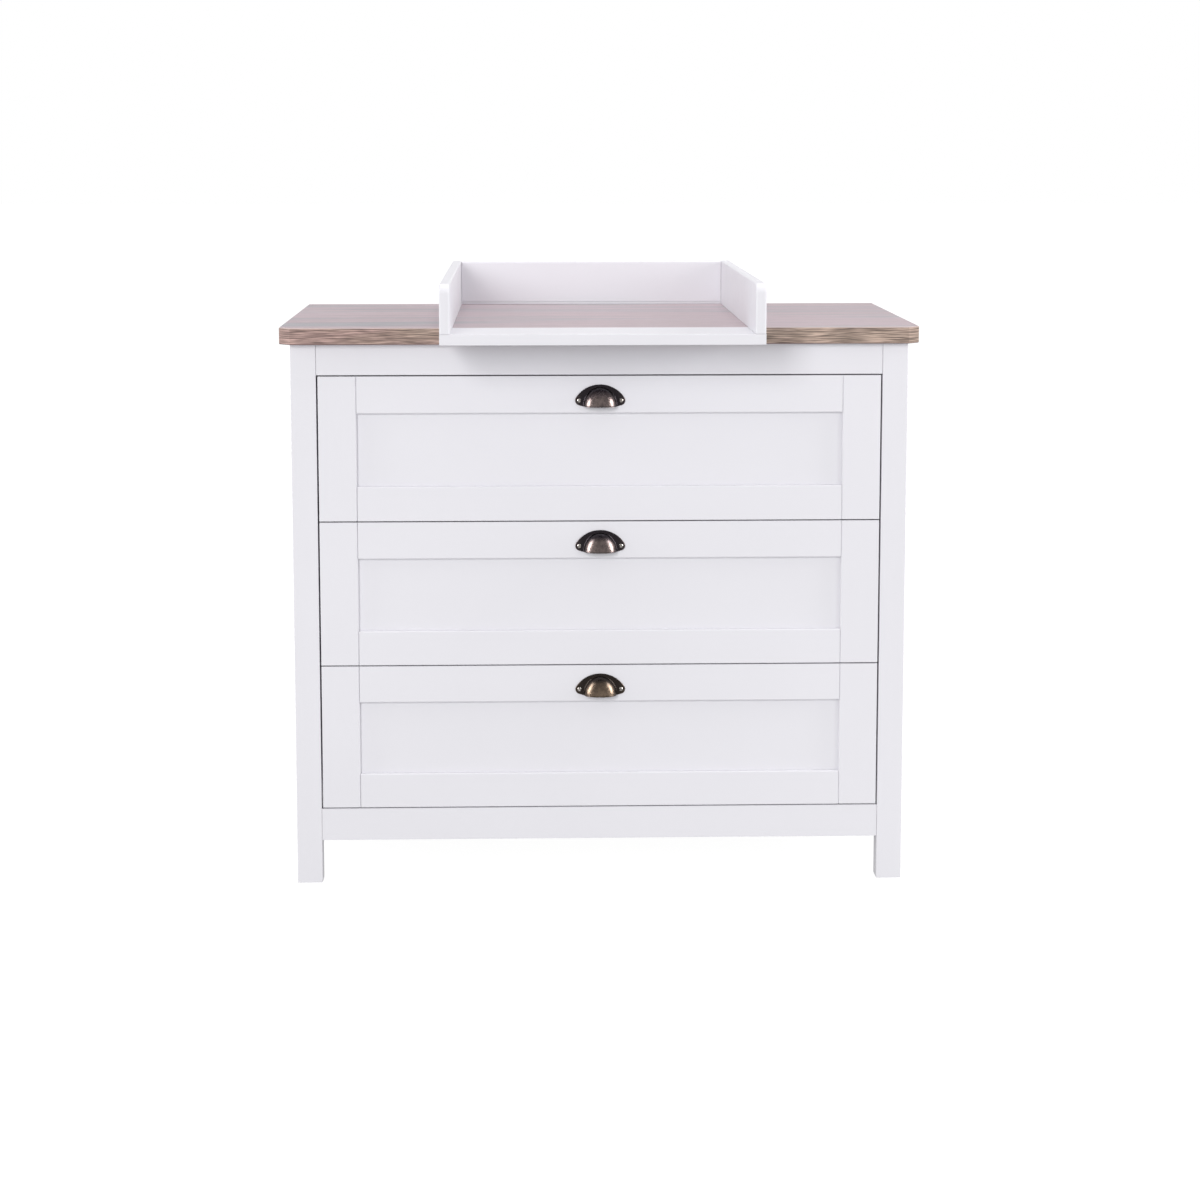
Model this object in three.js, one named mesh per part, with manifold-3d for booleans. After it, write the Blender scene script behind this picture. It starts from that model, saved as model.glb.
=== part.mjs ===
// A changing table: a three-drawer dresser with corner posts and a wood-decor worktop, and a loose
// changing tray that stands on the worktop and overhangs its front edge.
// Millimetres. +X to the right, +Y to the back, +Z up. The origin is on the floor, in the middle of
// the footprint, which runs from the tray's front edge to the worktop's back edge.
import * as THREE from 'three';
import { mergeVertices } from 'three/addons/utils/BufferGeometryUtils.js';
import Module from 'manifold-3d';

// ---- Driving dimensions ----
const GAP = 0.3; // between pieces that touch
const BODY_WIDTH = 968; // over the posts
const FOOTPRINT_DEPTH = 700; // the tray's length, front to back
const WORKTOP_WIDTH = 1002;
const WORKTOP_DEPTH = 560;
const WORKTOP_THICKNESS = 26.6;
const WORKTOP_HEIGHT = 890.7; // its top face
const WORKTOP_OVERHANG = 15; // past the posts' front face
const WORKTOP_CORNER = 18; // 45° cut across each front corner
const WORKTOP_ARRIS = 1.6; // rounding of its top and bottom edges
const POST_WIDTH = 39.5;
const POST_DEPTH = 33;
const BACK_OVERHANG = 5; // worktop past the back posts
const LEG_HEIGHT = 69.6; // clear height under the body
const FIRST_GAP_HEIGHT = 122; // middle of the gap under the lowest drawer
const DRAWER_PITCH = 230.8;
const DRAWER_COUNT = 3;
const ROW_GAP = 2; // between one drawer front and the next
const SIDE_GAP = 2.6; // between a drawer front and a post
const RAIL_SETBACK = 0.6; // carcass rails behind the posts' face
const RAIL_THICKNESS = 20;
const SIDE_THICKNESS = 16;
const SIDE_RECESS = 6; // side panel behind the posts' outer face
const BACK_THICKNESS = 3;
const BACK_RECESS = 10;

const FRONT_THICKNESS = 20; // drawer front frame
const STILE_WIDTH = 59.9;
const TOP_RAIL_HEIGHT = 58.7;
const BOTTOM_RAIL_HEIGHT = 54.5;
const PANEL_RECESS = 7;
const PANEL_THICKNESS = 8;
const PANEL_TONGUE = 8; // how far the panel enters the frame's groove
const FRAME_CHAMFER = 1.5; // along the frame's inner front edges

const BOX_SIDE_THICKNESS = 12;
const BOX_HEIGHT = 160;
const BOX_LIFT = 22; // box above the front's lower edge
const BOX_LENGTH = 500;
const BOX_BOTTOM_THICKNESS = 5;
const BOX_BOTTOM_LIFT = 10;
const BOX_GROOVE_DEPTH = 6;

const RUNNER_SPACE = 12.7; // between the box and the post, on each side
const RUNNER_LENGTH = 500;
const RUNNER_STEEL = 1.3;
const CABINET_MEMBER = { width: 10.8, height: 44 };
const DRAWER_MEMBER = { width: 8, height: 34 };
const RUNNER_START = 3; // behind the drawer front

const HANDLE_TOP_DROP = 14.4; // pull's top edge below the gap over its drawer
const FLANGE_THICKNESS = 1.8;
const FLANGE_ARC_RADIUS = 45;
const EAR_RADIUS = 6.5;
const EAR_HEIGHT = 9.3; // screw centre above the pull's lower edge
const SCREW_SPACING = 65.8;
const DOME = { halfWidth: 27.5, height: 31, depth: 21 };
const DOME_WALL = 1.6;

const TRAY_WIDTH = 492;
const TRAY_BOARD = 16; // side and back thickness
const TRAY_TOP = 967;
const TRAY_FRONT_BOARD = 16.3; // thickness of the board in front of the worktop
const TRAY_CORNER_RADIUS = 15; // at the front of each side
const TRAY_EDGE_RADIUS = 3; // along the boards' free edges
const TRAY_FOOT = 3.8; // strip under the back panel

// ---- Levels worked out from them ----
const FRONT = -FOOTPRINT_DEPTH / 2 + (FOOTPRINT_DEPTH - WORKTOP_DEPTH) + WORKTOP_OVERHANG;
const WORKTOP_FRONT = FRONT - WORKTOP_OVERHANG;
const BACK = FOOTPRINT_DEPTH / 2;
const BODY_BACK = BACK - BACK_OVERHANG;
const WORKTOP_UNDERSIDE = WORKTOP_HEIGHT - WORKTOP_THICKNESS;
const BODY_TOP = WORKTOP_UNDERSIDE - GAP;
const HALF_BODY = BODY_WIDTH / 2;
const HALF_OPENING = HALF_BODY - POST_WIDTH;
const HALF_FRONT = HALF_OPENING - SIDE_GAP;
const HALF_BOX = HALF_OPENING - RUNNER_SPACE;
const HALF_TRAY = TRAY_WIDTH / 2;
const TRAY_BOTTOM = WORKTOP_HEIGHT + GAP;

// ---- Materials ----
const paint = (color, roughness, metalness = 0) =>
  new THREE.MeshStandardMaterial({ color, roughness, metalness });
const WHITE = paint(0xebeaef, 0.45);
const WORKTOP_DECOR = paint(0xbeb5bc, 0.5);
const BOX_WHITE = paint(0xe9e8e6, 0.55);
const BACK_BOARD = paint(0xe4e3e0, 0.65);
const RUNNER_STEEL_PAINT = paint(0xb9bbbd, 0.4, 0.8);
const ANTIQUE_BRONZE = paint(0x4b4140, 0.35, 0.9);

// ---- Solids ----
const wasm = await Module();
wasm.setup();

function block([x0, x1], [y0, y1], [z0, z1]) {
  const box = new THREE.BoxGeometry(x1 - x0, y1 - y0, z1 - z0);
  return box.translate((x0 + x1) / 2, (y0 + y1) / 2, (z0 + z1) / 2);
}

// A closed shape drawn in the XZ plane, extruded along +Y from y0 to y1.
function alongY(shape, [y0, y1]) {
  const prism = new THREE.ExtrudeGeometry(shape, { depth: y1 - y0, bevelEnabled: false });
  return prism.rotateX(Math.PI / 2).translate(0, y1, 0);
}

// A closed shape drawn in the YZ plane, extruded along +X from x0 to x1.
function alongX(shape, [x0, x1]) {
  const prism = new THREE.ExtrudeGeometry(shape, { depth: x1 - x0, bevelEnabled: false });
  return prism.rotateX(Math.PI / 2).rotateZ(Math.PI / 2).translate(x0, 0, 0);
}

// A closed shape drawn in the XY plane, extruded along +Z from z0 to z1.
function alongZ(shape, [z0, z1]) {
  const prism = new THREE.ExtrudeGeometry(shape, { depth: z1 - z0, bevelEnabled: false });
  return prism.translate(0, 0, z0);
}

function polygon(points) {
  return new THREE.Shape(points.map(([u, v]) => new THREE.Vector2(u, v)));
}

function solid(geometry) {
  const bare = geometry.clone();
  bare.deleteAttribute('normal');
  bare.deleteAttribute('uv');
  const merged = mergeVertices(bare, 1e-4);
  const vertProperties = new Float32Array(merged.attributes.position.array);
  const triVerts = new Uint32Array(merged.index.array);
  return new wasm.Manifold(new wasm.Mesh({ numProp: 3, vertProperties, triVerts }));
}

function geometryOf(manifold) {
  const { vertProperties, triVerts } = manifold.getMesh();
  const geometry = new THREE.BufferGeometry();
  geometry.setAttribute('position', new THREE.BufferAttribute(vertProperties, 3));
  geometry.setIndex(new THREE.BufferAttribute(triVerts, 1));
  geometry.computeVertexNormals();
  return geometry;
}

const cut = (geometry, ...tools) =>
  geometryOf(tools.reduce((body, tool) => body.subtract(solid(tool)), solid(geometry)));

const table = new THREE.Group();

function add(parent, name, geometry, material) {
  const mesh = new THREE.Mesh(geometry, material.clone());
  mesh.name = name;
  parent.add(mesh);
}

const SIDES = [['left', -1], ['right', 1]];
// The span from a to b on one side of the table, lowest first.
const span = (side, a, b) => [side * a, side * b].sort((p, q) => p - q);

// ---- Carcass ----
function worktopGeometry() {
  const half = WORKTOP_WIDTH / 2;
  const plan = polygon([
    [-half + WORKTOP_CORNER, WORKTOP_FRONT], [half - WORKTOP_CORNER, WORKTOP_FRONT],
    [half, WORKTOP_FRONT + WORKTOP_CORNER], [half, BACK],
    [-half, BACK], [-half, WORKTOP_FRONT + WORKTOP_CORNER],
  ]);
  const slab = new THREE.ExtrudeGeometry(plan, {
    depth: WORKTOP_THICKNESS - 2 * WORKTOP_ARRIS,
    bevelThickness: WORKTOP_ARRIS,
    bevelSize: WORKTOP_ARRIS,
    bevelOffset: -WORKTOP_ARRIS,
    bevelSegments: 4,
  });
  return slab.translate(0, 0, WORKTOP_UNDERSIDE + WORKTOP_ARRIS);
}

function carcass() {
  const group = new THREE.Group();
  add(group, 'worktop', worktopGeometry(), WORKTOP_DECOR);

  const backPostFront = BODY_BACK - POST_DEPTH;
  const panelHeight = [LEG_HEIGHT, BODY_TOP];
  const clear = HALF_OPENING - GAP;
  for (const [name, side] of SIDES) {
    const across = span(side, HALF_OPENING, HALF_BODY);
    const frontPost = block(across, [FRONT, FRONT + POST_DEPTH], [0, BODY_TOP]);
    add(group, `front_${name}_post`, frontPost, WHITE);
    add(group, `back_${name}_post`, block(across, [backPostFront, BODY_BACK], [0, BODY_TOP]), WHITE);
    const outer = HALF_BODY - SIDE_RECESS;
    const panel = block(span(side, outer - SIDE_THICKNESS, outer),
      [FRONT + POST_DEPTH + GAP, backPostFront - GAP], panelHeight);
    add(group, `${name}_side_panel`, panel, WHITE);
  }

  const railFront = FRONT + RAIL_SETBACK;
  const frontRail = [railFront, railFront + RAIL_THICKNESS];
  const topGap = FIRST_GAP_HEIGHT + DRAWER_COUNT * DRAWER_PITCH;
  const topRail = [topGap + ROW_GAP / 2, BODY_TOP];
  const bottomRail = [LEG_HEIGHT, FIRST_GAP_HEIGHT - ROW_GAP / 2];
  add(group, 'front_top_rail', block([-clear, clear], frontRail, topRail), WHITE);
  add(group, 'front_bottom_rail', block([-clear, clear], frontRail, bottomRail), WHITE);

  const backFace = BODY_BACK - BACK_RECESS;
  const backPanel = [backFace - BACK_THICKNESS, backFace];
  const backRail = [backPostFront, backPanel[0] - GAP];
  add(group, 'back_top_rail', block([-clear, clear], backRail, topRail), WHITE);
  add(group, 'back_bottom_rail', block([-clear, clear], backRail, bottomRail), WHITE);
  add(group, 'back_panel', block([-clear, clear], backPanel, panelHeight), BACK_BOARD);
  return group;
}

// ---- Runners ----
// A channel of folded steel: its web stands at x = 0 and its flanges reach to x = width.
function channel({ width, height }) {
  const half = height / 2;
  return polygon([
    [0, -half], [width, -half], [width, -half + RUNNER_STEEL],
    [RUNNER_STEEL, -half + RUNNER_STEEL], [RUNNER_STEEL, half - RUNNER_STEEL],
    [width, half - RUNNER_STEEL], [width, half], [0, half],
  ]);
}

// The channel at height z with its web's back at x, its flanges pointing inwards or outwards.
function runnerMember(member, side, x, opensOutwards, z) {
  const start = FRONT + FRONT_THICKNESS + RUNNER_START;
  const geometry = alongY(channel(member), [start, start + RUNNER_LENGTH]);
  const turn = (side > 0) === opensOutwards ? 0 : Math.PI;
  const middle = start + RUNNER_LENGTH / 2;
  return geometry.translate(0, -middle, 0).rotateZ(turn).translate(side * x, middle, z);
}

// ---- Drawers ----
// The frame's groove for the panel, seen from the frame's inner edge.
const GROOVE_Y = [FRONT + PANEL_RECESS, FRONT + PANEL_RECESS + PANEL_THICKNESS + 2 * GAP];
const PANEL_Y = [GROOVE_Y[0] + GAP, GROOVE_Y[1] - GAP];
const FRAME_Y = [FRONT, FRONT + FRONT_THICKNESS];

// The section of a stile or rail from its outer edge to its inner edge, in (edge, y) pairs.
function frameSection(outer, inner) {
  const back = Math.sign(outer - inner) * FRAME_CHAMFER;
  return [
    [outer, FRAME_Y[0]], [inner + back, FRAME_Y[0]], [inner, FRAME_Y[0] + FRAME_CHAMFER],
    [inner, FRAME_Y[1]], [outer, FRAME_Y[1]],
  ];
}

function drawerFront(group, name, low, high) {
  const inner = HALF_FRONT - STILE_WIDTH;
  const opening = [low + BOTTOM_RAIL_HEIGHT, high - TOP_RAIL_HEIGHT];
  for (const [word, side] of SIDES) {
    const stile = alongZ(polygon(frameSection(side * HALF_FRONT, side * inner)), [low, high]);
    const groove = block(span(side, inner - 1, inner + PANEL_TONGUE), GROOVE_Y, [low - 1, high + 1]);
    add(group, `${name}_front_${word}_stile`, cut(stile, groove), WHITE);
  }
  // Each rail stops at the stiles and sends a tongue into their grooves.
  const reach = inner + PANEL_TONGUE - GAP;
  for (const [word, edge, mouth] of [['bottom', low, opening[0]], ['top', high, opening[1]]]) {
    const section = polygon(frameSection(edge, mouth).map(([z, y]) => [y, z]));
    const bar = alongX(section, [-inner + GAP, inner - GAP]);
    const tongue = block([-reach, reach], PANEL_Y, span(1, edge, mouth));
    const inwards = Math.sign(mouth - edge);
    const groove = block([-HALF_FRONT, HALF_FRONT], GROOVE_Y,
      span(1, mouth - inwards * PANEL_TONGUE, mouth + inwards));
    const rail = geometryOf(solid(bar).add(solid(tongue)).subtract(solid(groove)));
    add(group, `${name}_front_${word}_rail`, rail, WHITE);
  }
  const into = PANEL_TONGUE - GAP;
  const panel = block([-reach, reach], PANEL_Y, [opening[0] - into, opening[1] + into]);
  add(group, `${name}_front_panel`, panel, WHITE);
}

function drawerBox(group, name, low) {
  const y = [FRONT + FRONT_THICKNESS + GAP, FRONT + FRONT_THICKNESS + BOX_LENGTH];
  const top = low + BOX_HEIGHT;
  const innerFace = HALF_BOX - BOX_SIDE_THICKNESS;
  const grooveTop = low + BOX_BOTTOM_LIFT + BOX_BOTTOM_THICKNESS;
  for (const [word, side] of SIDES) {
    const outline = [
      [HALF_BOX, low], [HALF_BOX, top], [innerFace, top], [innerFace, grooveTop],
      [innerFace + BOX_GROOVE_DEPTH, grooveTop], [innerFace + BOX_GROOVE_DEPTH, low + BOX_BOTTOM_LIFT],
      [innerFace, low + BOX_BOTTOM_LIFT], [innerFace, low],
    ];
    const section = polygon(outline.map(([x, z]) => [side * x, z]));
    add(group, `${name}_box_${word}_side`, alongY(section, y), BOX_WHITE);
  }
  const halfBottom = innerFace + BOX_GROOVE_DEPTH - GAP;
  const bottom = block([-halfBottom, halfBottom], y, [low + BOX_BOTTOM_LIFT + GAP, grooveTop - GAP]);
  add(group, `${name}_box_bottom`, bottom, BOX_WHITE);
  const halfBack = innerFace - GAP;
  const back = block([-halfBack, halfBack], [y[1] - BOX_SIDE_THICKNESS, y[1]], [grooveTop, top]);
  add(group, `${name}_box_back`, back, BOX_WHITE);
}

// ---- Cup pull ----
// Its outline in the XZ plane: a long arc over the top, an ear round each screw, and a straight
// lower edge as wide as the dome. The lower edge is at z = 0.
function flangeOutline() {
  const earX = SCREW_SPACING / 2;
  const arcToEar = FLANGE_ARC_RADIUS - EAR_RADIUS;
  const rise = Math.sqrt(arcToEar ** 2 - earX ** 2);
  const joint = Math.atan2(rise, earX); // where the long arc runs into an ear
  const corner = Math.hypot(earX - DOME.halfWidth, EAR_HEIGHT);
  const lowest = Math.atan2(-EAR_HEIGHT, DOME.halfWidth - earX) + Math.acos(EAR_RADIUS / corner);
  const outline = new THREE.Shape();
  outline.moveTo(DOME.halfWidth, 0);
  outline.absarc(earX, EAR_HEIGHT, EAR_RADIUS, lowest, joint, false);
  outline.absarc(0, EAR_HEIGHT - rise, FLANGE_ARC_RADIUS, joint, Math.PI - joint, false);
  outline.absarc(-earX, EAR_HEIGHT, EAR_RADIUS, Math.PI - joint, Math.PI - lowest, false);
  outline.lineTo(-DOME.halfWidth, 0);
  return { outline, height: EAR_HEIGHT - rise + FLANGE_ARC_RADIUS };
}

function ellipsoid(inset) {
  const ball = new THREE.SphereGeometry(1, 36, 24);
  return ball.scale(DOME.halfWidth - inset, DOME.depth - inset, DOME.height - inset);
}

// A dome that is open below and behind, on a flange that lies on the drawer front.
function cupPull() {
  const { outline, height } = flangeOutline();
  const front = block([-2 * DOME.halfWidth, 2 * DOME.halfWidth], [-2 * DOME.depth, 0], [0, 2 * DOME.height]);
  const dome = solid(ellipsoid(0)).intersect(solid(front));
  const flange = solid(alongY(outline, [-FLANGE_THICKNESS, 0]));
  return { geometry: geometryOf(dome.add(flange).subtract(solid(ellipsoid(DOME_WALL)))), height };
}

function drawer(number) {
  const group = new THREE.Group();
  const name = `drawer_${number}`;
  const gapBelow = FIRST_GAP_HEIGHT + (DRAWER_COUNT - number) * DRAWER_PITCH;
  const low = gapBelow + ROW_GAP / 2;
  const high = gapBelow + DRAWER_PITCH - ROW_GAP / 2;
  drawerFront(group, name, low, high);
  drawerBox(group, name, low + BOX_LIFT);

  const pull = cupPull();
  const pullBottom = gapBelow + DRAWER_PITCH - HANDLE_TOP_DROP - pull.height;
  const handle = pull.geometry.translate(0, FRONT - GAP, pullBottom);
  add(group, `${name}_cup_pull`, handle, ANTIQUE_BRONZE);

  const runnerHeight = low + BOX_LIFT + BOX_HEIGHT / 2;
  for (const [word, side] of SIDES) {
    const fixed = runnerMember(CABINET_MEMBER, side, HALF_OPENING - GAP, false, runnerHeight);
    add(group, `runner_${number}_${word}_cabinet_member`, fixed, RUNNER_STEEL_PAINT);
    const sliding = runnerMember(DRAWER_MEMBER, side, HALF_BOX + GAP, true, runnerHeight);
    add(group, `runner_${number}_${word}_drawer_member`, sliding, RUNNER_STEEL_PAINT);
  }
  return group;
}

// ---- Changing tray ----
// Two sides and a back, open underneath, so that the worktop is the changing surface. The sides
// stand on the worktop and, past its front edge, on a board that is level with it.
// The outline is drawn inset by the edge radius, and runs on below the board's foot, where the
// rounding is cut off again.
function traySideGeometry(across) {
  const r = TRAY_EDGE_RADIUS;
  const drop = 2 * r;
  const outline = new THREE.Shape();
  outline.moveTo(-BACK + r, TRAY_BOTTOM - drop);
  outline.lineTo(BACK - r, TRAY_BOTTOM - drop);
  outline.lineTo(BACK - r, TRAY_TOP - r);
  outline.lineTo(-BACK + TRAY_CORNER_RADIUS, TRAY_TOP - r);
  outline.absarc(-BACK + TRAY_CORNER_RADIUS, TRAY_TOP - TRAY_CORNER_RADIUS, TRAY_CORNER_RADIUS - r,
    Math.PI / 2, Math.PI, false);
  const board = new THREE.ExtrudeGeometry(outline, {
    depth: TRAY_BOARD - 2 * r,
    bevelThickness: r,
    bevelSize: r,
    bevelSegments: 4,
    curveSegments: 8,
  });
  board.rotateX(Math.PI / 2).rotateZ(Math.PI / 2).translate(across[0] + r, 0, 0);
  return cut(board, block([-BACK, BACK], [-2 * BACK, 2 * BACK], [0, TRAY_BOTTOM]));
}

// The back panel's section: a board with both top edges rounded.
function trayBackSection([y0, y1], [z0, z1]) {
  const r = TRAY_EDGE_RADIUS;
  const section = new THREE.Shape();
  section.moveTo(y0, z0);
  section.lineTo(y1, z0);
  section.absarc(y1 - r, z1 - r, r, 0, Math.PI / 2, false);
  section.absarc(y0 + r, z1 - r, r, Math.PI / 2, Math.PI, false);
  return section;
}

function tray() {
  const group = new THREE.Group();
  for (const [name, sign] of SIDES) {
    const across = span(sign, HALF_TRAY - TRAY_BOARD, HALF_TRAY);
    add(group, `tray_${name}_side`, traySideGeometry(across), WHITE);
  }
  const inner = HALF_TRAY - TRAY_BOARD - GAP;
  const depth = [BACK - TRAY_BOARD, BACK];
  const stripTop = TRAY_BOTTOM + TRAY_FOOT;
  const back = trayBackSection(depth, [stripTop + GAP, TRAY_TOP]);
  add(group, 'tray_back_panel', alongX(back, [-inner, inner]), WHITE);
  add(group, 'tray_foot_strip', block([-inner, inner], depth, [TRAY_BOTTOM, stripTop]), WHITE);
  const board = block([-HALF_TRAY, HALF_TRAY], [-BACK, WORKTOP_FRONT - GAP],
    [WORKTOP_HEIGHT - TRAY_FRONT_BOARD, WORKTOP_HEIGHT]);
  add(group, 'tray_front_board', board, WHITE);
  return group;
}

table.add(carcass());
for (let number = 1; number <= DRAWER_COUNT; number += 1) table.add(drawer(number));
table.add(tray());

export default table;
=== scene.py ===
"""The looks of a changing table: a three-drawer dresser with a wood-decor worktop and a loose tray.

Metres, +X to the right, +Y to the back, +Z up, in the same frame as the CAD parts.
"""
import math

import bpy
from mathutils import Matrix, Vector


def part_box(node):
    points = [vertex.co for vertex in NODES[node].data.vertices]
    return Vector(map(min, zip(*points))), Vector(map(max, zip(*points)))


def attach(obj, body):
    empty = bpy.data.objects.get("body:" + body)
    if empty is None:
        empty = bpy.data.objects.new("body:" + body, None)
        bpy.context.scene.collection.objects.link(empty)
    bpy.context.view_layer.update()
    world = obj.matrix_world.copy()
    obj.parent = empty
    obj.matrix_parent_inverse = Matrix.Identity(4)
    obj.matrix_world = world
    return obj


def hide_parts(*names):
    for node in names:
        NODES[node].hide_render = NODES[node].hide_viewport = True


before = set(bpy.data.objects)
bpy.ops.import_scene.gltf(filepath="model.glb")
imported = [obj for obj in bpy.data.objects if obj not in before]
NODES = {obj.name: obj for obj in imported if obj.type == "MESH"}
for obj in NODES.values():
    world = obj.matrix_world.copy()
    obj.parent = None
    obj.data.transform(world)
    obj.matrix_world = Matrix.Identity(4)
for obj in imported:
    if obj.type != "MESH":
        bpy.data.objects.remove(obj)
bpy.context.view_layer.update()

MM = 0.001
DRAWERS = (1, 2, 3)
SIDES = (("left", -1), ("right", 1))


# ---- Camera, light and stage ----
CAMERA_PLACE = (-0.1125, -4.0940, 1.1859)
CAMERA_TURN = -1.649  # degrees about Z; negative looks to the right
CAMERA_PITCH = 7.015  # degrees downwards
CAMERA_ROLL = -0.013  # degrees
CAMERA_LENS = 75  # millimetres, on a sensor 36 wide
CAMERA_SHIFT = -0.13  # of the picture's width

FLOOR_HALF = 40.0
FLOOR_TONE = 0.20  # the share of light that it throws back
FLOOR_LIGHT = 0.36  # what it adds to the light on the table
FLOOR_GLOW = 0.92  # what the camera sees of it near the table
FAR_FLOOR_GLOW = 0.96
GLOW_START, GLOW_END = 1.5, 6.0  # between these distances one becomes the other


def add_camera():
    data = bpy.data.cameras.new("camera")
    data.lens = CAMERA_LENS
    data.sensor_width = 36
    data.shift_y = CAMERA_SHIFT
    camera = bpy.data.objects.new("camera", data)
    bpy.context.scene.collection.objects.link(camera)
    turn = Matrix.Rotation(math.radians(CAMERA_TURN), 4, "Z")
    pitch = Matrix.Rotation(math.radians(90 - CAMERA_PITCH), 4, "X")
    roll = Matrix.Rotation(math.radians(CAMERA_ROLL), 4, "Z")
    camera.matrix_world = Matrix.Translation(CAMERA_PLACE) @ turn @ pitch @ roll
    bpy.context.scene.camera = camera


def add_softbox(name, place, aim, width, height, watts, shines_on=None):
    """A flat lamp without a highlight, or one that is only a highlight on a collection's pieces."""
    data = bpy.data.lights.new(name, "AREA")
    data.shape = "RECTANGLE"
    data.size = width
    data.size_y = height
    data.energy = watts
    lamp = bpy.data.objects.new(name, data)
    bpy.context.scene.collection.objects.link(lamp)
    lamp.location = place
    lamp.visible_glossy = shines_on is not None
    if shines_on:
        lamp.visible_diffuse = False
        lamp.light_linking.receiver_collection = shines_on
    lamp.rotation_euler = (Vector(aim) - Vector(place)).to_track_quat("-Z", "Y").to_euler()


def add_world(strength, colour):
    """Even light from all around. The camera sees it as pure white."""
    world = bpy.data.worlds.new("studio")
    bpy.context.scene.world = world
    world.use_nodes = True
    tree = world.node_tree
    light = tree.nodes["Background"]
    light.inputs["Color"].default_value = (*colour, 1)
    light.inputs["Strength"].default_value = strength
    seen = tree.nodes.new("ShaderNodeBackground")
    seen.inputs["Color"].default_value = (1, 1, 1, 1)
    path = tree.nodes.new("ShaderNodeLightPath")
    either = tree.nodes.new("ShaderNodeMixShader")
    tree.links.new(path.outputs["Is Camera Ray"], either.inputs[0])
    tree.links.new(light.outputs[0], either.inputs[1])
    tree.links.new(seen.outputs[0], either.inputs[2])
    tree.links.new(either.outputs[0], tree.nodes["World Output"].inputs["Surface"])


# ---- Materials ----
class Shader:
    """One material's nodes. Patterns are laid out in the frame's own metres."""

    def __init__(self, name):
        self.material = bpy.data.materials.new(name)
        self.material.use_nodes = True
        self.tree = self.material.node_tree
        self.surface = self.tree.nodes["Principled BSDF"]
        self.place = self.add("TexCoord").outputs["Object"]

    def add(self, kind, inputs=None, **settings):
        node = self.tree.nodes.new("ShaderNode" + kind)
        for key, value in settings.items():
            setattr(node, key, value)
        for key, value in (inputs or {}).items():
            self.give(node.inputs[key], value)
        return node

    def give(self, socket, value):
        if isinstance(value, bpy.types.NodeSocket):
            self.tree.links.new(value, socket)
        else:
            socket.default_value = value

    def noise(self, per_metre, detail=2.0, roughness=0.5, distortion=0.0, place=None):
        """Noise with this many lumps to the metre along X, Y and Z."""
        stretch = self.add("Mapping", {"Vector": place or self.place, "Scale": per_metre})
        inputs = {"Vector": stretch.outputs[0], "Scale": 1.0, "Detail": detail,
                  "Roughness": roughness, "Distortion": distortion}
        return self.add("TexNoise", inputs).outputs["Fac"]

    def ramp(self, value, *stops):
        """Colours or greys that follow value, each stop a (place, colour) pair."""
        node = self.add("ValToRGB", {"Fac": value})
        points = node.color_ramp.elements
        while len(points) < len(stops):
            points.new(0.5)
        for point, (at, colour) in zip(points, stops):
            point.position = at
            point.color = (colour,) * 3 + (1,) if isinstance(colour, (int, float)) else (*colour, 1)
        return node.outputs["Color"]

    def maths(self, operation, first, second=0.0):
        return self.add("Math", {0: first, 1: second}, operation=operation).outputs[0]

    def mix(self, share, first, second, blend="MIX"):
        node = self.add("Mix", {0: share, 6: first, 7: second}, data_type="RGBA", blend_type=blend)
        return node.outputs[2]

    def blend_values(self, share, first, second):
        return self.add("Mix", {0: share, 2: first, 3: second}, data_type="FLOAT").outputs[0]

    def bump(self, height, depth, under=None):
        inputs = {"Height": height, "Distance": depth, "Strength": 1.0}
        if under:
            inputs["Normal"] = under
        return self.add("Bump", inputs).outputs["Normal"]

    def finish(self, colour, roughness, normal, **plain):
        self.give(self.surface.inputs["Base Color"], colour)
        self.give(self.surface.inputs["Roughness"], roughness)
        self.give(self.surface.inputs["Normal"], normal)
        for key, value in plain.items():
            self.surface.inputs[key].default_value = value
        return self.material


def linear(red, green, blue):
    """A colour given in the usual 0 to 255 steps, as linear light."""
    def one(step):
        share = step / 255
        return share / 12.92 if share <= 0.04045 else ((share + 0.055) / 1.055) ** 2.4
    return one(red), one(green), one(blue)


def satin_lacquer(name, colour, sheen_low, sheen_high):
    """Sprayed lacquer: a slow drift of tone, uneven gloss and the fine ripple called orange peel."""
    shade = Shader(name)
    drift = shade.noise((2.6, 2.6, 2.6), detail=3)
    tone = shade.ramp(drift, (0.3, tuple(c * 0.972 for c in colour)), (0.7, colour))
    gloss = shade.noise((34, 34, 34), detail=3)
    rough = shade.ramp(gloss, (0.25, sheen_low), (0.75, sheen_high))
    ripple = shade.bump(shade.noise((420, 420, 420), detail=1), 0.02 * MM)
    normal = shade.bump(shade.noise((26, 26, 26), detail=1), 0.10 * MM, ripple)
    return shade.finish(tone, rough, normal)


def printed_board(name, colour, low, high):
    """Melamine-faced board: a hard, slightly pitted skin."""
    shade = Shader(name)
    cloud = shade.noise((6, 6, 6), detail=3)
    tone = shade.ramp(cloud, (0.3, tuple(c * 0.965 for c in colour)), (0.7, colour))
    rough = shade.ramp(shade.noise((60, 60, 60)), (0.3, low), (0.7, high))
    pits = shade.noise((1100, 1100, 1100), detail=2, roughness=0.7)
    return shade.finish(tone, rough, shade.bump(pits, 0.03 * MM))


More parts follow.
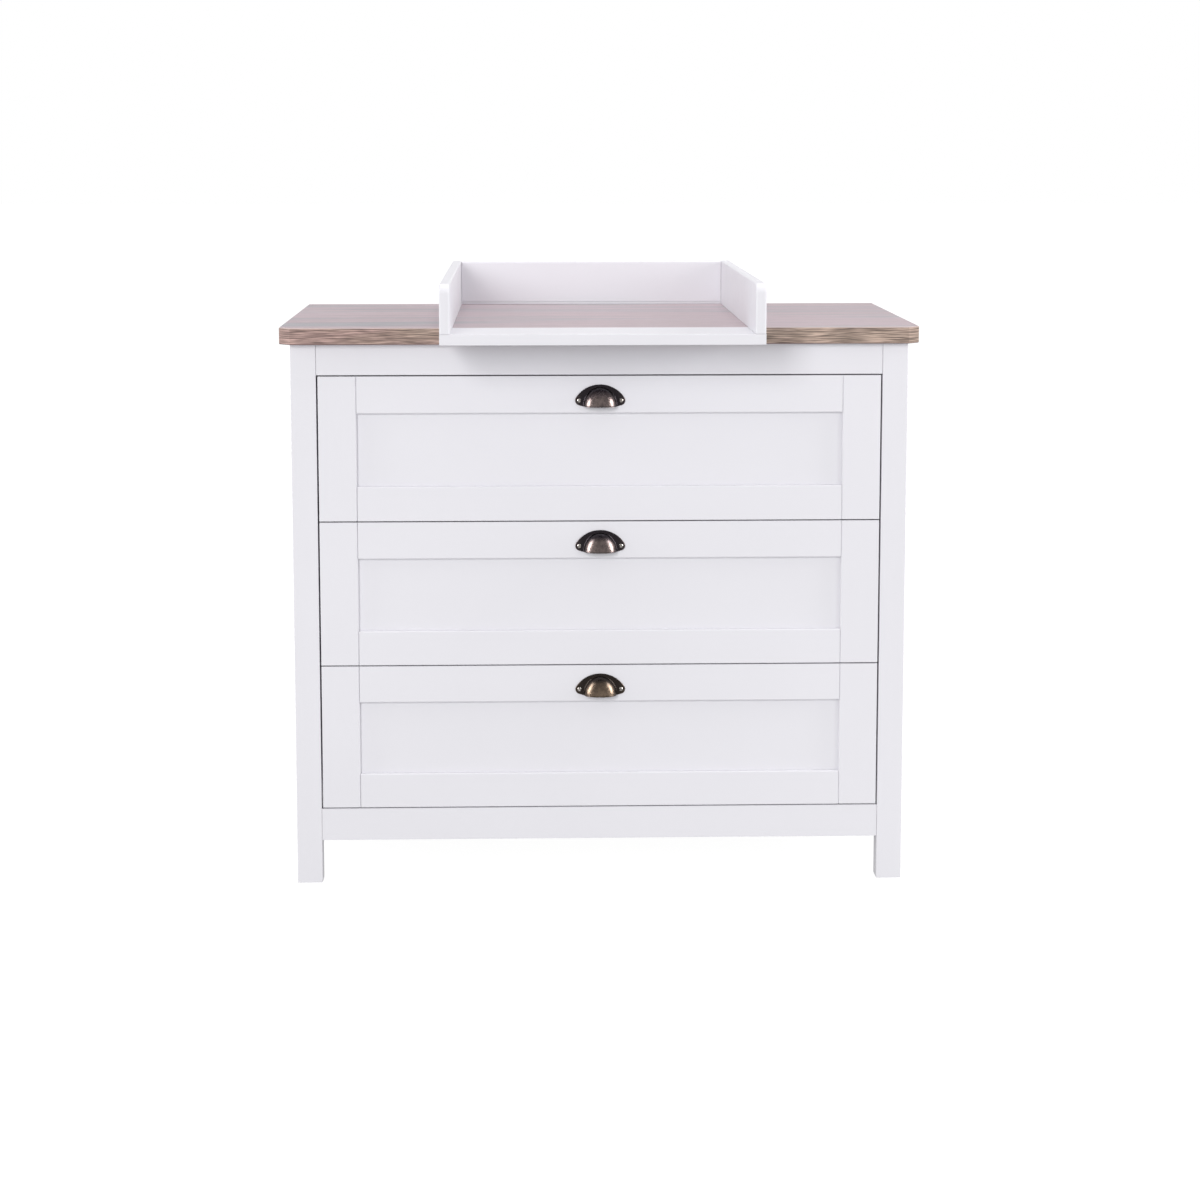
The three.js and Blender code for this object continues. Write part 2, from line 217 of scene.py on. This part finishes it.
def worktop_decor(name):
    """Brushed oak decor. The grain runs along each face's length, and the edges are browner; the flat
    faces are painted paler and greyer, partly as painted sheen.
    """
    shade = Shader(name)
    geometry = shade.add("NewGeometry").outputs["True Normal"]
    facing = shade.add("SeparateXYZ", {"Vector": geometry}).outputs
    spot = shade.add("SeparateXYZ", {"Vector": shade.place}).outputs
    is_end = shade.maths("GREATER_THAN", shade.maths("ABSOLUTE", facing["X"]), 0.8)
    is_flat = shade.maths("GREATER_THAN", shade.maths("ABSOLUTE", facing["Z"]), 0.75)
    along = shade.blend_values(is_end, spot["X"], spot["Y"])
    across = shade.blend_values(is_flat, spot["Z"], spot["Y"])
    lane = shade.maths("MULTIPLY", is_flat, 0.37)
    grain = shade.add("CombineXYZ", {"X": along, "Y": across, "Z": lane}).outputs[0]

    band = shade.noise((1.2, 15, 1), detail=3, distortion=0.6, place=grain)
    cloud = shade.noise((5, 28, 1), detail=2, distortion=0.3, place=grain)
    streak = shade.noise((3.2, 75, 1), detail=3, roughness=0.6, distortion=0.2, place=grain)
    fibre = shade.noise((40, 900, 1), detail=2, roughness=0.6, place=grain)
    line = shade.noise((22, 560, 1), detail=1, roughness=0.6, place=grain)
    pore = shade.noise((30, 1300, 1), detail=1, place=grain)

    top = shade.ramp(band, (0.34, linear(170, 168, 173)), (0.48, linear(188, 172, 178)),
                     (0.60, linear(192, 174, 179)), (0.72, linear(174, 170, 174)))
    top = shade.mix(0.7, top, shade.ramp(streak, (0.32, 0.72), (0.5, 0.97), (0.68, 1.15)), "MULTIPLY")
    top = shade.mix(0.6, top, shade.ramp(fibre, (0.34, 0.70), (0.5, 0.98), (0.68, 1.10)), "MULTIPLY")
    edge = shade.ramp(cloud, (0.36, linear(169, 149, 136)), (0.52, linear(167, 145, 133)),
                      (0.66, linear(171, 144, 137)))
    lines = shade.ramp(line, (0.38, 0.42), (0.47, 0.80), (0.55, 1.08), (0.62, 1.44))
    edge = shade.mix(0.9, edge, lines, "MULTIPLY")
    fibres = shade.ramp(fibre, (0.34, 0.62), (0.48, 0.92), (0.60, 1.10), (0.70, 1.25))
    edge = shade.mix(0.8, edge, fibres, "MULTIPLY")
    # Painted sheen: the flat faces take a paler, greyer copy of the decor, partly its own tone and
    # partly the white room reflected at a low angle.
    tone = shade.mix(is_flat, edge, top)
    pores = shade.ramp(pore, (0.30, 0.70), (0.38, 1.0))
    tone = shade.mix(0.5, tone, pores, "MULTIPLY")

    # The rounded arris above an edge gets a painted highlight, and the one below it painted shade.
    lean = shade.maths("ABSOLUTE", facing["Z"])
    arris = shade.ramp(lean, (0.12, 0.0), (0.22, 1.0), (0.90, 1.0), (0.97, 0.0))
    above = shade.maths("GREATER_THAN", facing["Z"], 0.0)
    painted_highlight = shade.maths("MULTIPLY", arris, above)
    tone = shade.mix(shade.maths("MULTIPLY", painted_highlight, 0.75), tone, (*linear(206, 190, 188), 1))
    below = shade.maths("MULTIPLY", arris, shade.maths("LESS_THAN", facing["Z"], 0.0))
    tone = shade.mix(shade.maths("MULTIPLY", below, 0.7), tone, (*linear(112, 84, 82), 1))

    rough = shade.ramp(streak, (0.3, 0.36), (0.7, 0.50))
    relief = shade.maths("ADD", shade.maths("MULTIPLY", fibre, 0.7), pore)
    return shade.finish(tone, rough, shade.bump(relief, 0.05 * MM))


def antique_bronze(name, dark, rubbed):
    """Blackened casting, rubbed bright where hands reach, and painted darker towards its top as painted
    shade; the mesh says where, in the values it stores for rubbing and shade.
    """
    shade = Shader(name)
    # The values hold the rubbed wear together with painted shade towards the top.
    rub_and_shade = shade.add("Attribute", attribute_name="rub_and_shade").outputs["Fac"]
    mottle = shade.noise((260, 260, 260), detail=4, roughness=0.65)
    blotch = shade.noise((90, 90, 90), detail=2)
    uneven = shade.maths("ADD", shade.maths("MULTIPLY", mottle, 0.55),
                         shade.maths("MULTIPLY", blotch, 0.75))
    share = shade.maths("MULTIPLY", rub_and_shade, uneven)
    tone = shade.ramp(share, (0.04, dark), (0.42, tuple((a + b) / 2.3 for a, b in zip(dark, rubbed))),
                      (0.80, rubbed))
    rough = shade.ramp(mottle, (0.3, 0.22), (0.7, 0.34))
    grain = shade.bump(shade.noise((800, 800, 800), detail=2), 0.05 * MM)
    normal = shade.bump(mottle, 0.12 * MM, grain)
    return shade.finish(tone, rough, normal, Metallic=1.0)


def plated_steel(name):
    """Zinc plate: a spangled, faintly brushed metal along the runner."""
    shade = Shader(name)
    brushed = shade.noise((900, 12, 900), detail=2)
    spangle = shade.noise((140, 140, 140), detail=2)
    tone = shade.ramp(spangle, (0.3, linear(198, 200, 203)), (0.7, linear(212, 214, 217)))
    rough = shade.ramp(brushed, (0.3, 0.26), (0.7, 0.42))
    return shade.finish(tone, rough, shade.bump(brushed, 0.004 * MM), Metallic=1.0)


def studio_floor(name):
    """A floor that glows by itself. The camera sees more of the glow than the table gets."""
    shade = Shader(name)
    tone = shade.ramp(shade.noise((0.8, 0.8, 0.8)), (0.3, FLOOR_TONE), (0.7, FLOOR_TONE * 1.02))
    normal = shade.bump(shade.noise((30, 30, 30)), 0.1 * MM)
    away = shade.add("VectorMath", {0: shade.place}, operation="LENGTH").outputs["Value"]
    glow = shade.add("MapRange", {"Value": away, "From Min": GLOW_START, "From Max": GLOW_END,
                                  "To Min": FLOOR_GLOW, "To Max": FAR_FLOOR_GLOW}).outputs[0]
    seen = shade.add("LightPath").outputs["Is Camera Ray"]
    shown = shade.blend_values(seen, FLOOR_LIGHT, glow)
    shade.give(shade.surface.inputs["Emission Strength"], shown)
    white = (1, 1, 1, 1)
    return shade.finish(tone, 0.8, normal, **{"Emission Color": white, "Specular IOR Level": 0.0})


# ---- Mesh building ----
def add_mesh(name, points, faces, material, smooth_below=40):
    mesh = bpy.data.meshes.new(name)
    mesh.from_pydata(points, [], faces)
    mesh.validate()
    mesh.materials.append(material)
    for face in mesh.polygons:
        face.use_smooth = True
    mesh.set_sharp_from_angle(angle=math.radians(smooth_below))
    piece = bpy.data.objects.new(name, mesh)
    bpy.context.scene.collection.objects.link(piece)
    return piece


def soften(node, edge):
    """Rounds a CAD node's edges by modifiers, which leave its mesh as it is."""
    weld = node.modifiers.new("one_vertex_per_corner", "WELD")
    weld.merge_threshold = 0.01 * MM
    flat = node.modifiers.new("whole_faces", "DECIMATE")
    flat.decimate_type = "DISSOLVE"
    flat.angle_limit = math.radians(1)
    bevel = node.modifiers.new("rounded_edges", "BEVEL")
    bevel.width = edge
    bevel.segments = 3
    bevel.limit_method = "ANGLE"
    bevel.angle_limit = math.radians(40)
    even = node.modifiers.new("even_shading", "WEIGHTED_NORMAL")
    even.weight = 90
    for face in node.data.polygons:
        face.use_smooth = True


# ---- Cup pull ----
FLANGE = 1.8 * MM
FLANGE_EDGE = 0.7 * MM
EAR_RADIUS = 7.8 * MM
SCREW_INSET = 6.5 * MM  # from the pull's end to the screw's middle
EAR_HEIGHT = 9.3 * MM
ARC_RADIUS = 45.43 * MM
FOOT_HALF_WIDTH = 27.5 * MM
DOME_HALF_WIDTH = 26.2 * MM
DOME_HEIGHT = 30 * MM
DOME_FULLNESS = 2.25  # 2 is an ellipsoid; more is squarer
DOME_FILLET = 1.2 * MM
WALL = 1.5 * MM
LIP_RADIUS = 1.0 * MM
LIP_SIDES = 12
PAINTED_SHADE_HEIGHT = 26 * MM  # painted shade: the bright rubbing is painted out towards this height, for the dark ceiling that the dome's top reflects
# the least share of the rubbing that the painted shade leaves
LEFT_UNDER_PAINTED_SHADE = 0.06
BACK_RUB, EDGE_RUB, FLANGE_RUB, LIP_RUB = 0.1, 0.55, 0.25, 0.35
PULL_STEPS = 72  # round the outline
EAR_STEPS, ARCH_STEPS = 24, 60  # of the outline's arcs, before it is divided evenly
EDGE_STEPS = 3
FILLET_STEPS = 4
DOME_STEPS = 18  # from the flange to the foremost point


def arc(centre, radius, start, end, steps):
    return [(centre[0] + radius * math.cos(start + (end - start) * k / steps),
             centre[1] + radius * math.sin(start + (end - start) * k / steps))
            for k in range(steps + 1)]


def even_steps(line, steps):
    """The same line with its points the same distance apart."""
    lengths = [0.0]
    for (x0, z0), (x1, z1) in zip(line, line[1:]):
        lengths.append(lengths[-1] + math.hypot(x1 - x0, z1 - z0))
    result, j = [], 0
    for k in range(steps + 1):
        want = lengths[-1] * k / steps
        while j < len(line) - 2 and lengths[j + 1] < want:
            j += 1
        t = (want - lengths[j]) / max(lengths[j + 1] - lengths[j], 1e-12)
        (x0, z0), (x1, z1) = line[j], line[j + 1]
        result.append((x0 + (x1 - x0) * t, z0 + (z1 - z0) * t))
    return result


def flange_outline(half_width):
    """From the foot of the right ear over the top to the left foot, in (x, z)."""
    ear_x = half_width - EAR_RADIUS
    rise = math.sqrt((ARC_RADIUS - EAR_RADIUS) ** 2 - ear_x ** 2)
    joint = math.atan2(rise, ear_x)
    corner = math.hypot(ear_x - FOOT_HALF_WIDTH, EAR_HEIGHT)
    lowest = math.atan2(-EAR_HEIGHT, FOOT_HALF_WIDTH - ear_x) + math.acos(EAR_RADIUS / corner)
    line = [(FOOT_HALF_WIDTH, 0.0)]
    line += arc((ear_x, EAR_HEIGHT), EAR_RADIUS, lowest, joint, EAR_STEPS)
    line += arc((0, EAR_HEIGHT - rise), ARC_RADIUS, joint, math.pi - joint, ARCH_STEPS)[1:]
    line += arc((-ear_x, EAR_HEIGHT), EAR_RADIUS, math.pi - joint, math.pi - lowest, EAR_STEPS)[1:]
    line.append((-FOOT_HALF_WIDTH, 0.0))
    return even_steps(line, PULL_STEPS)


def drawn_in(line, inset):
    """The line moved inwards by inset, never below z = 0."""
    result = []
    for k, (x, z) in enumerate(line):
        before, after = line[max(k - 1, 0)], line[min(k + 1, len(line) - 1)]
        run = Vector((after[0] - before[0], after[1] - before[1])).normalized()
        result.append((x - run.y * inset, max(z + run.x * inset, 0.0)))
    result[0] = (line[0][0] - inset, 0.0)
    result[-1] = (line[-1][0] + inset, 0.0)
    return result


def dome_contour(half_width, height, line):
    """A half ellipse with a point in the direction of each point of line."""
    result = []
    for x, z in line:
        turn = math.atan2(z / DOME_HEIGHT, x / DOME_HALF_WIDTH)
        result.append((half_width * math.cos(turn), max(height * math.sin(turn), 0.0)))
    return result


def dome_at(turn, shrink, depth):
    """The dome's share of its width, and how far it stands out, at a turn from 0 to a quarter."""
    power = 2 / DOME_FULLNESS
    return math.cos(turn) ** power, (depth - shrink) * math.sin(turn) ** power


def pull_layers(outline, depth):
    """Loops (line, how far it stands out, rub) over the pull, from its back edge to its tip."""
    layers = [(outline, 0.0, BACK_RUB)]
    for k in range(EDGE_STEPS + 1):
        turn = math.pi / 2 * k / EDGE_STEPS
        inset = FLANGE_EDGE * (1 - math.cos(turn))
        stands = FLANGE - FLANGE_EDGE * (1 - math.sin(turn))
        rub_and_shade = EDGE_RUB if k < EDGE_STEPS else FLANGE_RUB
        layers.append((drawn_in(outline, inset), stands, rub_and_shade))
    for k in range(FILLET_STEPS + 1):
        turn = math.pi / 2 * k / FILLET_STEPS
        out = DOME_FILLET * (1 - math.sin(turn))
        stands = FLANGE + DOME_FILLET * (1 - math.cos(turn))
        loop = dome_contour(DOME_HALF_WIDTH + out, DOME_HEIGHT + out, outline)
        layers.append((loop, stands, 0.0))
    foot = FLANGE + DOME_FILLET  # the dome's loops start a little in front of it
    for k in range(1, DOME_STEPS):
        turn = math.pi / 2 * k / DOME_STEPS
        share, stands = dome_at(turn, 0.0, depth)
        if stands <= foot * 1.05:
            continue
        loop = dome_contour(DOME_HALF_WIDTH * share, DOME_HEIGHT * share, outline)
        layers.append((loop, stands, min(1.0, 1.5 * math.sin(turn) ** 1.5)))
    return layers


def add_cup_pull(name, box, material):
    """A hollow casting as wide and high as box: its outside, its inside and a rim between them."""
    low, high = box
    middle, back = (low.x + high.x) / 2, high.y
    depth = high.y - low.y
    outline = flange_outline((high.x - low.x) / 2)
    points, rub_and_shade_values, faces, loops = [], [], [], []

    def lay(line, stands, rub_and_shade):
        loops.append(len(points))
        points.extend((middle + x, back - stands, low.z + z) for x, z in line)
        # Painted shade: the rubbing fades out towards the top, standing for a dark ceiling's
        # reflection.
        rub_and_shade_values.extend(rub_and_shade * max(LEFT_UNDER_PAINTED_SHADE, 1 - (z / PAINTED_SHADE_HEIGHT) ** 3) for _, z in line)

    def sew(first, second):
        for k in range(PULL_STEPS):
            faces.append((first + k, first + k + 1, second + k + 1, second + k))

    for line, stands, rub_and_shade in pull_layers(outline, depth):
        lay(line, stands, rub_and_shade)
    outer = list(loops)
    tip = len(points)
    points.append((middle, low.y, low.z))
    rub_and_shade_values.append(1.0)
    for first, second in zip(outer, outer[1:]):
        sew(first, second)
    faces += [(outer[-1] + k, outer[-1] + k + 1, tip) for k in range(PULL_STEPS)]

    loops.clear()
    for k in range(DOME_STEPS):
        share, stands = dome_at(math.pi / 2 * k / DOME_STEPS, WALL, depth)
        half_width, height = (DOME_HALF_WIDTH - WALL) * share, (DOME_HEIGHT - WALL) * share
        lay(dome_contour(half_width, height, outline), stands, 0.0)
    inner = list(loops)
    inner_tip = len(points)
    points.append((middle, back - depth + WALL, low.z))
    rub_and_shade_values.append(0.0)
    for first, second in zip(inner, inner[1:]):
        sew(second, first)
    faces += [(inner[-1] + k + 1, inner[-1] + k, inner_tip) for k in range(PULL_STEPS)]
    sew(inner[0], outer[0])
    rim = outer + [tip] + [start + PULL_STEPS for start in reversed(outer)]
    rim += [start + PULL_STEPS for start in inner] + [inner_tip] + inner[::-1]
    faces.append(tuple(reversed(rim)))

    # A rolled lip along the lower edge, partly sunk into the dome.
    path = []
    for k in range(2 * DOME_STEPS + 1):
        turn = math.pi / 2 * (1 - abs(k - DOME_STEPS) / DOME_STEPS)
        share, stands = dome_at(turn, 0.0, depth - LIP_RADIUS * 0.8)
        side = 1 if k < DOME_STEPS else -1
        path.append(Vector((middle + side * (DOME_HALF_WIDTH - LIP_RADIUS * 0.6) * share,
                            back - max(stands, FLANGE * 0.6), low.z + LIP_RADIUS)))
    add_tube(points, rub_and_shade_values, faces, path, LIP_RADIUS, LIP_SIDES, LIP_RUB)

    pull = add_mesh(name, points, faces, material)
    values = pull.data.attributes.new("rub_and_shade", "FLOAT", "POINT")
    values.data.foreach_set("value", rub_and_shade_values)
    return pull


def add_tube(points, rub_and_shade_values, faces, path, radius, sides, rub_and_shade):
    """A closed tube along a level path."""
    rings = []
    for k, centre in enumerate(path):
        run = path[min(k + 1, len(path) - 1)] - path[max(k - 1, 0)]
        across = Vector((run.y, -run.x, 0)).normalized()
        rings.append(len(points))
        for j in range(sides):
            turn = 2 * math.pi * j / sides
            points.append(tuple(centre + across * radius * math.cos(turn)
                                + Vector((0, 0, radius * math.sin(turn)))))
            rub_and_shade_values.append(rub_and_shade)
    for first, second in zip(rings, rings[1:]):
        for j in range(sides):
            following = (j + 1) % sides
            faces.append((first + j, second + j, second + following, first + following))
    faces.append(tuple(rings[0] + j for j in range(sides)))
    faces.append(tuple(rings[-1] + j for j in reversed(range(sides))))


# ---- Screws ----
PULL_SCREW = (3.1 * MM, 1.5 * MM)  # radius and height of the head
RUNNER_SCREW = (3.6 * MM, 1.4 * MM)
SLOT_HALF, SLOT_REACH = 0.13, 0.62  # of the head's radius
SLOT_DEPTH = 0.5  # of the head's height
HEAD_RINGS, HEAD_SPOKES = 16, 64
ROOT = 0.1 * MM  # how far the head reaches into what it holds
SCREWS_PER_MEMBER = 3
RUNNER_STEEL = 1.3 * MM  # the members' sheet, on whose inner side the screws stand


def add_screw(name, place, out, size, material, turned):
    """A round head with a cross slot. place is on the surface, out the way that the head faces."""
    rings, spokes = HEAD_RINGS, HEAD_SPOKES
    radius, height = size
    slot_half, slot_reach, slot_depth = radius * SLOT_HALF, radius * SLOT_REACH, height * SLOT_DEPTH
    axis = Vector(out)
    turn = axis.to_track_quat("Z", "Y").to_matrix().to_4x4() @ Matrix.Rotation(turned, 4, "Z")
    points = [Vector((0, 0, height - slot_depth))]
    for ring in range(1, rings + 1):
        r = radius * ring / rings
        for k in range(spokes):
            x, y = r * math.cos(2 * math.pi * k / spokes), r * math.sin(2 * math.pi * k / spokes)
            z = height * (1 - 0.75 * (r / radius) ** 2.6)
            narrow, wide = min(abs(x), abs(y)), max(abs(x), abs(y))
            if narrow < slot_half and wide < slot_reach:
                z -= slot_depth
            points.append(Vector((x, y, z)))
    for k in range(spokes):
        points.append(Vector((radius * math.cos(2 * math.pi * k / spokes),
                              radius * math.sin(2 * math.pi * k / spokes), -ROOT)))
    faces = [(0, 1 + k, 1 + (k + 1) % spokes) for k in range(spokes)]
    for ring in range(rings):
        first = 1 + ring * spokes
        for k in range(spokes):
            following = (k + 1) % spokes
            faces.append((first + k, first + spokes + k, first + spokes + following, first + following))
    faces.append(tuple(1 + rings * spokes + k for k in reversed(range(spokes))))
    move = Matrix.Translation(place) @ turn
    screw = add_mesh(name, [tuple(move @ point) for point in points], faces, material, 35)
    values = screw.data.attributes.new("rub_and_shade", "FLOAT", "POINT")
    values.data.foreach_set("value", [1.0] * len(screw.data.vertices))
    return screw


# ---- Making it all ----
WHITE = satin_lacquer("white_paint", linear(230, 229, 234), 0.34, 0.46)
DECOR = worktop_decor("worktop_decor")
BOX_WHITE = printed_board("drawer_box_white", linear(224, 223, 220), 0.40, 0.52)
BACK_BOARD = printed_board("back_board", linear(232, 231, 227), 0.50, 0.62)
STEEL = plated_steel("runner_steel")
BRONZE = antique_bronze("antique_bronze", (0.040, 0.034, 0.039), (0.29, 0.23, 0.215))
BRASSY_BRONZE = antique_bronze("antique_bronze_brassy", (0.042, 0.034, 0.030), (0.27, 0.20, 0.147))
SCREW_METAL = antique_bronze("antique_bronze_screws", (0.20, 0.18, 0.17), (0.62, 0.58, 0.54))
FLOOR = studio_floor("floor")

# Word in a node's name, its material and the width of its rounded edges. A row with the node's
# whole name counts before the rows with a part of it, and of those the first counts.
FINISHES = (
    ("worktop", DECOR, 0.3 * MM),
    ("front_top_rail", WHITE, 0.7 * MM),
    ("post", WHITE, 0.7 * MM),
    ("side_panel", WHITE, 0.4 * MM),
    ("back_top_rail", WHITE, 0.4 * MM),
    ("back_bottom_rail", WHITE, 0.4 * MM),
    ("back_panel", BACK_BOARD, 0.2 * MM),
    ("member", STEEL, 0.25 * MM),
    ("box", BOX_WHITE, 0.4 * MM),
    ("front_panel", WHITE, 0.3 * MM),
    ("stile", WHITE, 0.35 * MM),
    ("rail", WHITE, 0.35 * MM),
    ("tray_foot_strip", WHITE, 0.4 * MM),
    ("tray_front_board", WHITE, 0.8 * MM),
    ("tray_back_panel", WHITE, 0.8 * MM),
    ("tray_left_side", WHITE, 0.3 * MM),
    ("tray_right_side", WHITE, 0.3 * MM),
)


def dress_nodes():
    """Gives each CAD node but the pulls its material and rounded edges."""
    for name, node in NODES.items():
        found = [f for f in FINISHES if f[0] == name] or [f for f in FINISHES if f[0] in name]
        if not found:  # a pull, which add_pulls replaces
            continue
        _, material, edge = found[0]
        node.data.materials.clear()
        node.data.materials.append(material)
        soften(node, edge)


def add_pulls():
    """Makes the three pulls with their screws, and returns all nine."""
    made = []
    for number in DRAWERS:
        node = f"drawer_{number}_cup_pull"
        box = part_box(node)
        metal = BRASSY_BRONZE if number == DRAWERS[-1] else BRONZE
        pull = add_cup_pull(f"drawer_{number}_cast_pull", box, metal)
        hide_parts(node)
        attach(pull, f"drawer_{number}")
        made.append(pull)
        for word, side in SIDES:
            ear = (box[0].x if side < 0 else box[1].x) - side * SCREW_INSET
            place = Vector((ear, box[1].y - FLANGE, box[0].z + EAR_HEIGHT))
            screw = add_screw(f"drawer_{number}_pull_{word}_screw", place, (0, -1, 0),
                              PULL_SCREW, SCREW_METAL, 0.5 * number + 0.4 * side)
            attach(screw, f"drawer_{number}")
            made.append(screw)
    return made


def add_runner_screws():
    """Screws in every runner member, which ride with the body that the member is fixed to."""
    for number in DRAWERS:
        for word, side in SIDES:
            for kind, body in (("cabinet", "carcass"), ("drawer", f"drawer_{number}")):
                low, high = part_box(f"runner_{number}_{word}_{kind}_member")
                if kind == "cabinet":
                    face, out = (high.x if side > 0 else low.x) - side * RUNNER_STEEL, (-side, 0, 0)
                else:
                    face, out = (low.x if side > 0 else high.x) + side * RUNNER_STEEL, (side, 0, 0)
                for k in range(SCREWS_PER_MEMBER):
                    share = (k + 0.5) / SCREWS_PER_MEMBER
                    place = Vector((face, low.y + (high.y - low.y) * share, (low.z + high.z) / 2))
                    screw = add_screw(f"runner_{number}_{word}_{kind}_screw_{k + 1}", place, out,
                                      RUNNER_SCREW, STEEL, 0.7 * k + 0.3 * number)
                    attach(screw, body)


def add_floor():
    corners = [(-FLOOR_HALF, -FLOOR_HALF, 0), (FLOOR_HALF, -FLOOR_HALF, 0),
               (FLOOR_HALF, FLOOR_HALF, 0), (-FLOOR_HALF, FLOOR_HALF, 0)]
    floor = add_mesh("floor", corners, [(0, 1, 2, 3)], FLOOR)


def add_light(cast_metal):
    """Lamps that leave no highlight, and two that put one on cast_metal and light nothing."""
    middle = (0, -0.1, 0.55)
    add_world(0.52, (1.0, 0.995, 1.0))
    add_softbox("key_softbox", (-2.75, -7.4, 3.1), middle, 2.3, 3.2, 275)
    add_softbox("fill_softbox", (3.4, -3.4, 1.5), middle, 1.6, 1.6, 30)
    add_softbox("left_softbox", (-3.0, -0.45, 1.6), middle, 0.9, 2.6, 30)
    add_softbox("right_softbox", (3.0, -0.45, 1.6), middle, 0.9, 2.6, 48)
    metal = bpy.data.collections.new("cast_metal")
    for piece in cast_metal:
        metal.objects.link(piece)
    add_softbox("left_gloss", (-3.0, -0.95, 1.7), middle, 1.4, 2.8, 145, metal)
    add_softbox("right_gloss", (3.0, -0.95, 1.7), middle, 1.4, 2.8, 145, metal)
    add_softbox("back_softbox", (0.8, 4.6, 1.6), middle, 2.0, 1.6, 75)
    add_softbox("top_softbox", (0, 0.3, 4.2), (0, 0.1, 0), 2.6, 2.6, 52)


add_camera()
add_floor()
dress_nodes()
add_light(add_pulls())
add_runner_screws()
bpy.context.scene.view_settings.view_transform = "Standard"
